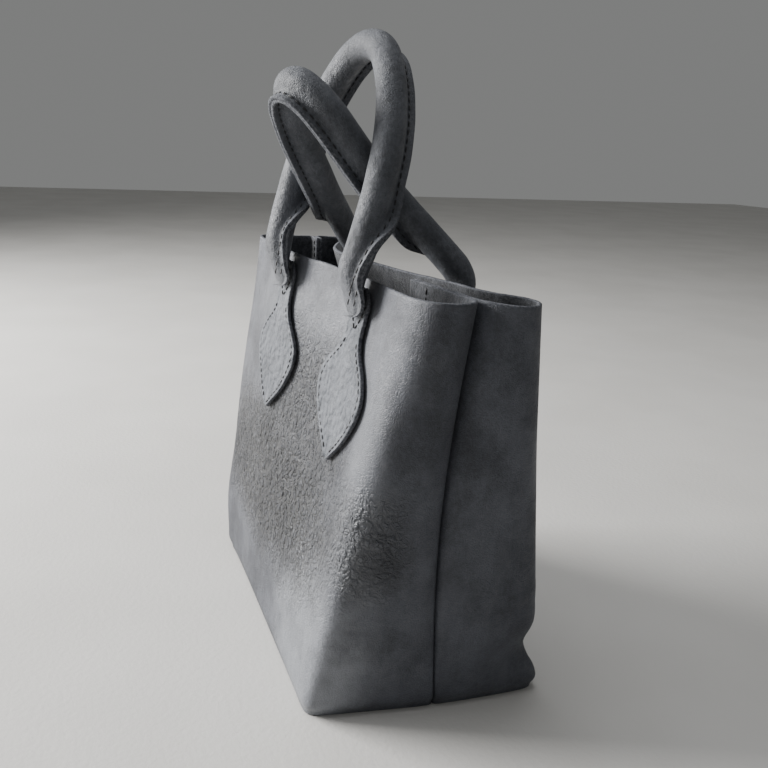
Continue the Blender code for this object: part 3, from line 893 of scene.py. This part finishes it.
def make_handle(key, looks):
    """A handle's tube and flange, closed round at both ends."""
    path, forward, flange, from_end = handle_frames(key)
    other = np.cross(forward, flange)
    tip = np.clip(from_end / TIP_LENGTH, 0.0, 1.0)
    rings, slots = [], None
    for i, centre in enumerate(path):
        radius = HANDLE_DIAMETER / 2 * mix(TIP_RADIUS, 1.0, math.sin(tip[i] * math.pi / 2) ** 0.7)
        section, slots = handle_section(radius, FLANGE_WIDTH * mix(TIP_FLANGE, 1.0, tip[i]))
        rings.append(centre + section[:, :1] * flange[i] + section[:, 1:] * other[i])
    grid = flattened(np.array(rings), path, leg_normals(key, len(path)), from_end)
    lumps = noise_at(grid, LUMP_WAVE, LUMP_SEED) * LUMP_HEIGHT
    grid = grid + unit(grid - path[:, None]) * lumps[..., None]
    rows, columns = grid.shape[:2]
    index = np.arange(rows * columns).reshape(rows, columns)
    beside = np.roll(index, -1, axis=1)
    quads = np.stack([index[:-1], beside[:-1], beside[1:], index[1:]], axis=-1).reshape(-1, 4)
    quad_slots = np.tile(np.array(slots), rows - 1)
    points = [grid.reshape(-1, 3), path[:1], path[-1:]]
    caps = []
    for row, centre in ((0, rows * columns), (rows - 1, rows * columns + 1)):
        ring = index[row]
        caps += [(int(a), int(b), centre) for a, b in zip(ring, np.roll(ring, -1))]
    faces = [tuple(f) for f in quads] + caps
    all_slots = np.concatenate([quad_slots, np.zeros(len(caps), dtype=int)])
    name = key + "_handle_skin"
    piece = new_piece(name, np.vstack(points), faces, all_slots, looks)
    return dress(piece, key + "_handle")


def stitch_piece(name, places, length, look):
    """Short rounded stitches of thread at (centre, direction, outward) places, in one mesh."""
    turns, rings, thickness = THREAD_SIDES, THREAD_RINGS, THREAD_THICKNESS
    points, faces = [], []
    for centre, along, outward in places:
        sideways = np.cross(along, outward)
        base = len(points)
        for at, width in rings:
            arch = thickness * THREAD_ARCH * (1 - (2 * at) ** 2)
            for k in range(turns):
                angle = 2 * math.pi * k / turns
                spread = sideways * math.cos(angle) + outward * math.sin(angle)
                middle = centre + along * length * at + outward * arch
                points.append(middle + spread * thickness / 2 * width)
        for ring in range(len(rings) - 1):
            for k in range(turns):
                a, b = base + ring * turns + k, base + ring * turns + (k + 1) % turns
                faces.append((a, b, b + turns, a + turns))
        faces.append(tuple(base + k for k in range(turns))[::-1])
        faces.append(tuple(base + (len(rings) - 1) * turns + k for k in range(turns)))
    return dress(new_piece(name, points, faces, [0] * len(faces), [look]), None)


def along_path(points, pitch, first=0.0):
    """Places a pitch apart along a line of points, as indices with their fractions."""
    lengths = np.append(0.0, np.cumsum(np.linalg.norm(np.diff(points, axis=0), axis=1)))
    wanted = np.arange(first, lengths[-1], pitch)
    return np.interp(wanted, lengths, np.arange(len(points)))


def at_index(values, place):
    low = int(place)
    high = min(low + 1, len(values) - 1)
    return mix(values[low], values[high], place - low)


def handle_stitches(key, look):
    """The row of stitches through the flange, seen on both of its faces."""
    path, forward, flange, from_end = handle_frames(key)
    places = []
    for place in along_path(path, SEAM_PITCH, 0.004):
        if at_index(from_end, place) < TIP_LENGTH:
            continue
        centre, along, out = (at_index(v, place) for v in (path, forward, flange))
        along, out = unit(along), unit(out)
        other = np.cross(along, out)
        reach = HANDLE_DIAMETER / 2 * 0.95 + FLANGE_WIDTH * FLANGE_STITCH_SHARE
        for way in (-1, 1):
            places.append((centre + out * reach + other * way * FLANGE_PINCH, along, other * way))
    return stitch_piece(key + "_handle_stitches", places, SEAM_STITCH, look)


def tab_half_width(down):
    """The tab's half width at a share of its length, on a smooth curve through the outline's points."""
    outline = spline_on_points(TAB_OUTLINE, 200)
    rounding = math.sqrt(1 - max(0.0, 1 - (down + 0.002) / NECK_ROUNDING) ** 2)
    return np.interp(down, outline[:, 0], outline[:, 1]) * rounding


def tab_point(key, leg, down, across, lift=0.0):
    """A point of a tab's middle surface, and its outward normal: shares down its length and across it."""
    row = named(HANDLE_COLUMNS, HANDLES[key])
    x = row[leg + "_leg"] * RIM_LENGTH / 2 + across * TAB_WIDTH / 2
    seat, normal = face_point(row["side"], x, 1 - (TAB_DROP + down * TAB_LENGTH) / BODY_HEIGHT)
    stand_off = LEATHER / 2 + TAB_GAP + LEATHER / 2 + lift
    return seat + normal * stand_off, normal


def make_tab(key, leg, looks):
    """A leather tab on the panel: a neck that widens into a pointed leaf, its edges a little proud."""
    grid = []
    for down in np.linspace(0.0, 1.0, TAB_RINGS):
        half = tab_half_width(down)
        across = np.linspace(-1.0, 1.0, TAB_STRIPS + 1) * half
        grid.append([tab_point(key, leg, down, a)[0] for a in across])
    grid = np.array(grid)
    side = named(HANDLE_COLUMNS, HANDLES[key])["side"]
    outward = normals_of(grid)
    if outward[TAB_RINGS // 2, TAB_STRIPS // 2, 1] * side < 0:
        outward = -outward
    across = np.abs(np.linspace(-1.0, 1.0, TAB_STRIPS + 1))[None, :]
    proud = 0.0007 * smooth((across - 0.6) / 0.4) * (1 + noise_at(grid, (0.018, 0.018, 0.018), 7.7))
    grid = grid + outward * (relief(grid) + proud * 0.6 + 0.0001)[..., None]
    if side > 0:
        grid = grid[:, ::-1]
    piece = shell(f"{key}_tab_{leg}_skin", grid[::-1], LEATHER, looks)
    return dress(piece, f"{key}_tab_{leg}")


def tab_stitches(key, leg, look):
    """Stitches round the leaf inside its edge, and in a V below the tube's end."""
    inset = TAB_STITCH_INSET / (TAB_WIDTH / 2)
    lines = []
    downs = np.linspace(0.30, 0.965, 60)
    for way in (-1, 1):
        across = [way * max(0.0, tab_half_width(d) - inset) for d in downs]
        lines.append(list(zip(downs, across)))
    half = tab_half_width(0.1) * 0.86
    for way in (-1, 1):
        lines.append([(mix(0.085, 0.235, t), way * half * (1 - t**1.4)) for t in np.linspace(0, 1, 12)])
    places = []
    for line in lines:
        spots = [tab_point(key, leg, down, across, LEATHER / 2 + 0.0002) for down, across in line]
        points = np.array([spot[0] for spot in spots])
        normals = np.array([spot[1] for spot in spots])
        points = points + normals * relief(points)[:, None]
        runs = np.gradient(points, axis=0)
        for place in along_path(points, TAB_PITCH, 0.0012):
            centre, run, normal = (at_index(v, place) for v in (points, runs, normals))
            places.append((centre, unit(run), unit(normal)))
    return stitch_piece(f"{key}_tab_{leg}_stitches", places, TAB_STITCH, look)


def seam_stitches(side, look):
    """Stitches beside the raw edge inside each side seam, on the flesh side."""
    grid = np.array([panel_curve(side, share) for share in np.linspace(0.03, 0.99, 60)])
    places = []
    for column, step in ((SPAN_STEPS, 1), (-1 - SPAN_STEPS, -1)):
        line = grid[:, column]
        run = np.gradient(line, axis=0)
        along_fold = unit(grid[:, column + step] - line)
        outward = unit(np.cross(run, along_fold))
        outward[np.sum(outward * np.array((0, side, 0)), axis=1) < 0] *= -1
        for place in along_path(line, SEAM_PITCH, 0.002):
            normal = unit(at_index(outward, place))
            centre = at_index(line, place) + normal * (LEATHER / 2 + 0.0001)
            places.append((centre, unit(at_index(run, place)), normal))
    name = "front_seam_stitches" if side < 0 else "back_seam_stitches"
    return stitch_piece(name, places, SEAM_STITCH, look)


def make_base(looks):
    """The flat base, inside the walls' tucked-in bottom edge and clear of the seams' folds."""
    inset = LEATHER / 2 + FIT_GAP
    loop = []
    for side in (-1, 1):
        curve = panel_curve(side, 0.0)
        kept = slice(SEAM_POINTS * SPAN_STEPS, len(curve) - SEAM_POINTS * SPAN_STEPS)
        points = (curve - outward_of(curve, side) * inset)[kept]
        loop += list(points if side < 0 else points[::-1])
    crease = panel_curve(-1, 0.0)
    outline = np.array(loop)
    outline[:, 0] = np.clip(outline[:, 0], crease[0, 0] + FIT_GAP, crease[-1, 0] - FIT_GAP)
    rings = []
    for height in (0.0, 0.3, 0.7, 1.0):
        ring = outline.copy()
        ring[:, 2] = height * BASE_THICKNESS
        rings.append(ring)
    layers = []
    count = len(outline)
    steps = (0.985, 0.94, 0.8, 0.6, 0.4, 0.2, 0.05)
    for share in steps[::-1]:
        layers.append(outline * share * np.array((1, 1, 0)))
    layers += rings
    for share in steps:
        top = outline * share * np.array((1, 1, 0))
        top[:, 2] = BASE_THICKNESS
        layers.append(top)
    grid = np.array(layers)
    rows = len(grid)
    index = np.arange(rows * count).reshape(rows, count)
    beside = np.roll(index, -1, axis=1)
    quads = np.stack([index[:-1], beside[:-1], beside[1:], index[1:]], axis=-1).reshape(-1, 4)
    slots = np.repeat([0] * len(steps) + [1] * (len(rings) - 1) + [2] * len(steps), count)
    faces = [tuple(f) for f in quads] + [tuple(index[0][::-1]), tuple(index[-1])]
    slots = np.append(slots, [0, 2])
    piece = new_piece("base_panel_skin", grid.reshape(-1, 3), faces, slots, looks)
    return dress(piece, "base_panel")


def make_stage():
    """A plain pale floor, soft studio light and the photograph's camera."""
    bpy.ops.mesh.primitive_plane_add(size=8.0, location=(0.0, 0.0, -0.0002))
    floor = bpy.context.object
    floor.name = "floor"
    look = Look("floor_paint", 0.75, 0.2)
    shade = look.cloud(6, 3.0)
    colour = look.blend(look.ramp(shade, 0.3, 0.7), (0.52, 0.51, 0.49), (0.56, 0.55, 0.53))
    floor.data.materials.append(look.finish(colour, look.bump(look.cloud(300), 0.0002)))

    world = bpy.data.worlds.new("studio")
    bpy.context.scene.world = world
    world.use_nodes = True
    background = world.node_tree.nodes["Background"]
    background.inputs["Color"].default_value = (0.80, 0.81, 0.80, 1.0)
    background.inputs["Strength"].default_value = 0.26

    for entry in LIGHTS:
        row = named(LIGHT_COLUMNS, entry)
        light = bpy.data.lights.new(row["name"], "AREA")
        light.shape = "SQUARE"
        light.size = row["size"]
        light.energy = row["power"]
        light.color = row["colour"]
        lamp = bpy.data.objects.new(row["name"], light)
        bpy.context.scene.collection.objects.link(lamp)
        lamp.location = row["place"]
        aim = Vector(LIGHTS_AIM) - Vector(row["place"])
        lamp.rotation_euler = aim.to_track_quat("-Z", "Y").to_euler()

    lens = bpy.data.cameras.new("camera")
    lens.sensor_width = SENSOR_MM
    lens.lens = FOCAL_PIXELS * SENSOR_MM / FRAME_PIXELS
    camera = bpy.data.objects.new("camera", lens)
    bpy.context.scene.collection.objects.link(camera)
    columns = (Vector(CAMERA_RIGHT), -Vector(CAMERA_DOWN), -Vector(CAMERA_FORWARD))
    turn = Matrix(columns).transposed().to_4x4()
    camera.matrix_world = Matrix.Translation(Vector(CAMERA_PLACE)) @ turn
    bpy.context.scene.camera = camera


def main():
    dark, pale = (0.015, 0.017, 0.024), (0.082, 0.089, 0.110)
    edge = edge_leather("raw_edge", (0.040, 0.043, 0.052), (0.155, 0.160, 0.175))
    inside = flesh_leather("flesh_side", (0.022, 0.024, 0.029), (0.085, 0.089, 0.100))
    front = grain_leather("front_grain", dark, pale)
    back = grain_leather("back_grain", dark, pale)
    handle = grain_leather("handle_grain", (0.024, 0.027, 0.034), (0.108, 0.116, 0.136), 0.6, False)
    tab = grain_leather("tab_grain", (0.032, 0.037, 0.047), (0.150, 0.163, 0.190), 1.9, False)
    base = grain_leather("base_grain", dark, (0.080, 0.086, 0.102), 0.8, False)
    dark_thread = thread("dark_thread", (0.006, 0.006, 0.007), (0.022, 0.022, 0.025))
    make_panel("front_panel_skin", -1, [front, inside, edge])
    make_panel("back_panel_skin", 1, [back, inside, edge])
    make_base([base, edge, inside])
    for key in HANDLES:
        make_handle(key, [handle, inside, edge])
        handle_stitches(key, dark_thread)
        for leg in ("near", "far"):
            make_tab(key, leg, [tab, inside, edge])
            tab_stitches(key, leg, dark_thread)
    for side in (-1, 1):
        seam_stitches(side, dark_thread)
    make_stage()


main()
